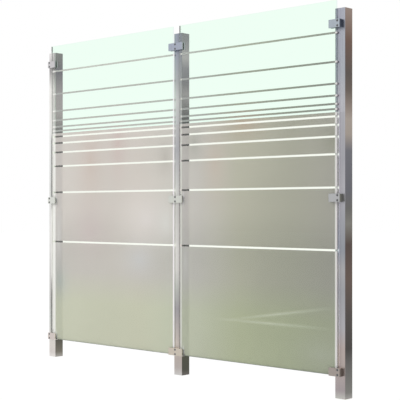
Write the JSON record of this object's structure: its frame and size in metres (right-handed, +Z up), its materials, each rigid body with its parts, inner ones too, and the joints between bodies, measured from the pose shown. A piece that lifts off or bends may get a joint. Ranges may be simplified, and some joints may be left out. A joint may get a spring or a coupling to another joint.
{
  "type": "glass fence",
  "caption": "Glass fence of square steel posts that hold clear panes with frosted stripes and a frosted lower field in square clamps.",
  "frame": {"origin": "centre of the middle post's foot", "axes": "+X along the fence, to the right as seen from the glass side; +Y from the glass to the back of the posts; +Z up"},
  "size_m": [2.23, 0.084, 1.913],
  "materials": {
    "glass": "toughened float glass with ground edges and a satin pattern blasted into the back",
    "posts": "brushed stainless steel, grain along the post",
    "clamps": "satin stainless steel",
    "fasteners": "stainless steel screws and rivet nuts",
    "pads": "black rubber"
  },
  "bodies": {
    "root": {"clamp_base_left_bottom": "clamps", "clamp_base_left_middle": "clamps", "clamp_base_left_top": "clamps", "clamp_base_middle_bottom": "clamps", "clamp_base_middle_middle": "clamps", "clamp_base_middle_top": "clamps", "clamp_base_right_bottom": "clamps", "clamp_base_right_middle": "clamps", "clamp_base_right_top": "clamps", "clamp_cover_left_bottom": "clamps", "clamp_cover_left_middle": "clamps", "clamp_cover_left_top": "clamps", "clamp_cover_middle_bottom": "clamps", "clamp_cover_middle_middle": "clamps", "clamp_cover_middle_top": "clamps", "clamp_cover_right_bottom": "clamps", "clamp_cover_right_middle": "clamps", "clamp_cover_right_top": "clamps", "clamp_pads_left_bottom": "pads", "clamp_pads_left_middle": "pads", "clamp_pads_left_top": "pads", "clamp_pads_middle_bottom": "pads", "clamp_pads_middle_middle": "pads", "clamp_pads_middle_top": "pads", "clamp_pads_right_bottom": "pads", "clamp_pads_right_middle": "pads", "clamp_pads_right_top": "pads", "cover_screws_left": "fasteners", "cover_screws_middle": "fasteners", "cover_screws_right": "fasteners", "fixing_screws_left": "fasteners", "fixing_screws_middle": "fasteners", "fixing_screws_right": "fasteners", "glass_panel_left": "glass", "glass_panel_right": "glass", "post_cap_left": "posts", "post_cap_middle": "posts", "post_cap_right": "posts", "post_left": "posts", "post_middle": "posts", "post_right": "posts", "rivet_nuts_left": "fasteners", "rivet_nuts_middle": "fasteners", "rivet_nuts_right": "fasteners"}
  },
  "joints": []
}
